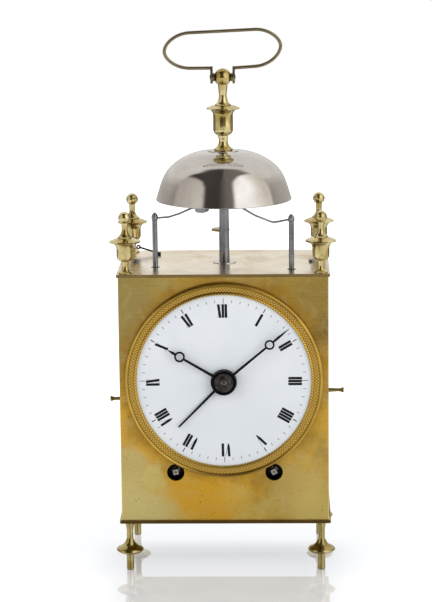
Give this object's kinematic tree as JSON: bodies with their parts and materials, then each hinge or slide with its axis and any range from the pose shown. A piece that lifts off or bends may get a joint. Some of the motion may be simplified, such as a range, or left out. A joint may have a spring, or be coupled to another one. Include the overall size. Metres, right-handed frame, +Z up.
{
  "type": "travelling lantern clock",
  "caption": "Brass lantern clock on turned feet, with a domed bell and loop handle on top, round enamel dial, three hands, hinged doors and a two-train wheel movement inside.",
  "frame": {"origin": "middle of the case plan, on the surface under the feet", "axes": "+Z up along the bell standard, dial faces -Y, +X to the right as the dial is read"},
  "size_m": [0.1476, 0.1042, 0.3274],
  "materials": {
    "case_brass": "old polished sheet with a blotchy patina",
    "polished_brass": "polished turned brass",
    "movement_brass": "fine brushed",
    "steel": "dull polished",
    "bell_steel": "polished, pale grey",
    "dark_steel": "blackened",
    "blued_steel": "deep blued, almost black",
    "enamel": "glossy white enamel"
  },
  "bodies": {
    "case": {"front_plate": "case_brass", "base_plate": "case_brass", "top_plate": "case_brass", "tie_rods": "steel", "feet": "polished_brass", "corner_finials": "polished_brass", "door_hinge_pins": "steel", "bezel": "polished_brass", "dial": "enamel", "bell_standard": "steel", "bell_washers": "steel", "bell": "bell_steel", "bell_urn": "polished_brass", "handle_pin": "steel", "handle_washers": "dark_steel", "hammer_cocks": "movement_brass", "movement_front_plate": "movement_brass", "movement_rear_plate": "movement_brass", "movement_pillars": "movement_brass", "click_studs": "steel", "motion_stud": "steel", "pendulum_cock": "movement_brass"},
    "left_door_leaf": {"left_door": "case_brass", "left_door_knob": "polished_brass"},
    "right_door_leaf": {"right_door": "case_brass", "right_door_knob": "polished_brass"},
    "rear_door_leaf": {"rear_door": "case_brass", "rear_door_knob": "polished_brass"},
    "handle": {"carrying_handle": "polished_brass"},
    "strike_hammer_set": {"strike_arbor": "steel", "strike_hammer": "steel"},
    "alarm_hammer_set": {"alarm_arbor": "steel", "alarm_hammer": "steel"},
    "button": {"repeat_button": "polished_brass"},
    "lever": {"repeat_lever": "dark_steel"},
    "centre_set": {"centre_wheel": "movement_brass", "cannon_pinion": "steel", "minute_hand": "blued_steel", "hand_boss": "dark_steel"},
    "hour_set": {"hour_wheel": "movement_brass", "hour_hand": "blued_steel"},
    "alarm_hand_set": {"alarm_hand": "blued_steel"},
    "minute_wheel_set": {"minute_wheel": "movement_brass"},
    "second_wheel_set": {"second_wheel": "movement_brass"},
    "going_barrel_set": {"going_barrel": "movement_brass", "going_mainspring": "steel"},
    "third_wheel_set": {"third_wheel": "movement_brass"},
    "escape_wheel_set": {"escape_wheel": "movement_brass"},
    "going_winding_set": {"going_winding_arbor": "steel"},
    "strike_winding_set": {"strike_winding_arbor": "steel"},
    "going_click_set": {"going_click": "steel"},
    "strike_click_set": {"strike_click": "steel"},
    "pin_wheel_set": {"pin_wheel": "movement_brass"},
    "strike_barrel_set": {"strike_barrel": "movement_brass", "strike_mainspring": "steel"},
    "locking_wheel_set": {"locking_wheel": "movement_brass"},
    "fly_set": {"fly": "steel"},
    "pendulum_set": {"pendulum": "movement_brass"},
    "pallet_set": {"pallets": "steel"},
    "alarm_wheel_set": {"alarm_wheel": "movement_brass"}
  },
  "joints": [
    {"name": "right_door_hinge", "type": "hinge", "parent": "case", "child": "right_door_leaf", "pos_m": [0.0617, -0.0385, 0.0322], "axis": [0, 0, -1], "range_deg": [0, 100]},
    {"name": "left_door_hinge", "type": "hinge", "parent": "case", "child": "left_door_leaf", "pos_m": [-0.0617, -0.0385, 0.0322], "axis": [0, 0, 1], "range_deg": [0, 100]},
    {"name": "rear_door_hinge", "type": "hinge", "parent": "case", "child": "rear_door_leaf", "pos_m": [0.061, 0.0407, 0.0322], "axis": [0, 0, -1], "range_deg": [0, 100]},
    {"name": "handle_hinge", "type": "hinge", "parent": "case", "child": "handle", "pos_m": [0, 0, 0.2978], "axis": [1, 0, 0], "range_deg": [-95, 95]},
    {"name": "strike_hammer_pivot", "type": "hinge", "parent": "case", "child": "strike_hammer_set", "pos_m": [-0.04152, -0.0171, 0.09727], "axis": [0, 0, 1], "range_deg": [-5.8, 25], "stiffness_Nm_per_rad": 0.01},
    {"name": "alarm_hammer_pivot", "type": "hinge", "parent": "case", "child": "alarm_hammer_set", "pos_m": [0.041, -0.0265, 0.152], "axis": [0, 0, -1], "range_deg": [-4.7, 25], "stiffness_Nm_per_rad": 0.01},
    {"name": "repeat_button_slide", "type": "slide", "parent": "case", "child": "button", "axis": [0, 0, -1], "range_m": [0, 0.0045], "stiffness_N_per_m": 150, "springref_m": -0.001},
    {"name": "repeat_lever_pivot", "type": "hinge", "parent": "case", "child": "lever", "pos_m": [-0.0415, 0.026, 0.1825], "axis": [0, 0, 1], "range_deg": [-10, 20], "stiffness_Nm_per_rad": 0.003},
    {"name": "minute_hand_spin", "type": "hinge", "parent": "case", "child": "centre_set", "pos_m": [0, 0, 0.11946], "axis": [0, 1, 0], "continuous": true},
    {"name": "hour_hand_spin", "type": "hinge", "parent": "case", "child": "hour_set", "pos_m": [0, 0, 0.11946], "axis": [0, 1, 0], "continuous": true},
    {"name": "alarm_hand_spin", "type": "hinge", "parent": "case", "child": "alarm_hand_set", "pos_m": [0, 0, 0.11946], "axis": [0, 1, 0], "continuous": true},
    {"name": "minute_wheel_spin", "type": "hinge", "parent": "case", "child": "minute_wheel_set", "pos_m": [0.0132, 0, 0.11946], "axis": [0, 1, 0], "continuous": true},
    {"name": "second_wheel_spin", "type": "hinge", "parent": "case", "child": "second_wheel_set", "pos_m": [0.01767, 0, 0.0923], "axis": [0, 1, 0], "continuous": true},
    {"name": "going_barrel_spin", "type": "hinge", "parent": "case", "child": "going_barrel_set", "pos_m": [0.02981, 0, 0.06226], "axis": [0, 1, 0], "continuous": true},
    {"name": "third_wheel_spin", "type": "hinge", "parent": "case", "child": "third_wheel_set", "pos_m": [0.00974, 0, 0.13807], "axis": [0, 1, 0], "continuous": true},
    {"name": "escape_wheel_spin", "type": "hinge", "parent": "case", "child": "escape_wheel_set", "pos_m": [0, 0, 0.15146], "axis": [0, 1, 0], "continuous": true},
    {"name": "going_winding", "type": "hinge", "parent": "case", "child": "going_winding_set", "pos_m": [0.02981, 0, 0.06226], "axis": [0, 1, 0], "range_deg": [0, 2700]},
    {"name": "strike_winding", "type": "hinge", "parent": "case", "child": "strike_winding_set", "pos_m": [-0.02981, 0, 0.06226], "axis": [0, -1, 0], "range_deg": [0, 2700]},
    {"name": "going_click_pivot", "type": "hinge", "parent": "case", "child": "going_click_set", "pos_m": [0.04331, 0, 0.06626], "axis": [0, 1, 0], "range_deg": [-12, 3], "stiffness_Nm_per_rad": 0.002},
    {"name": "strike_click_pivot", "type": "hinge", "parent": "case", "child": "strike_click_set", "pos_m": [-0.04331, 0, 0.06626], "axis": [0, -1, 0], "range_deg": [-12, 3], "stiffness_Nm_per_rad": 0.002},
    {"name": "pin_wheel_spin", "type": "hinge", "parent": "case", "child": "pin_wheel_set", "pos_m": [-0.036, 0, 0.09407], "axis": [0, 1, 0], "continuous": true},
    {"name": "strike_barrel_spin", "type": "hinge", "parent": "case", "child": "strike_barrel_set", "pos_m": [-0.02981, 0, 0.06226], "axis": [0, 1, 0], "continuous": true},
    {"name": "locking_wheel_spin", "type": "hinge", "parent": "case", "child": "locking_wheel_set", "pos_m": [-0.03299, 0, 0.11546], "axis": [0, 1, 0], "continuous": true},
    {"name": "fly_spin", "type": "hinge", "parent": "case", "child": "fly_set", "pos_m": [-0.02354, 0, 0.12633], "axis": [0, 1, 0], "continuous": true},
    {"name": "pendulum_swing", "type": "hinge", "parent": "case", "child": "pendulum_set", "pos_m": [0, 0.0145, 0.16746], "axis": [0, 1, 0], "range_deg": [-5, 5]},
    {"name": "pallet_rock", "type": "hinge", "parent": "case", "child": "pallet_set", "pos_m": [0, 0.0145, 0.16746], "axis": [0, 1, 0], "range_deg": [-5, 5]},
    {"name": "alarm_wheel_spin", "type": "hinge", "parent": "case", "child": "alarm_wheel_set", "pos_m": [0, -0.0265, 0.166], "axis": [1, 0, 0], "continuous": true}
  ],
  "couplings": [
    {"joint": "hour_hand_spin", "follows": "minute_hand_spin", "ratio": 0.083333},
    {"joint": "minute_wheel_spin", "follows": "minute_hand_spin", "ratio": -0.33333},
    {"joint": "second_wheel_spin", "follows": "minute_hand_spin", "ratio": -0.14286},
    {"joint": "going_barrel_spin", "follows": "minute_hand_spin", "ratio": 0.028571},
    {"joint": "third_wheel_spin", "follows": "minute_hand_spin", "ratio": -13},
    {"joint": "escape_wheel_spin", "follows": "minute_hand_spin", "ratio": 143},
    {"joint": "strike_barrel_spin", "follows": "pin_wheel_spin", "ratio": -0.2},
    {"joint": "locking_wheel_spin", "follows": "pin_wheel_spin", "ratio": -8},
    {"joint": "fly_spin", "follows": "pin_wheel_spin", "ratio": 56},
    {"joint": "pallet_rock", "follows": "pendulum_swing", "ratio": 1}
  ]
}
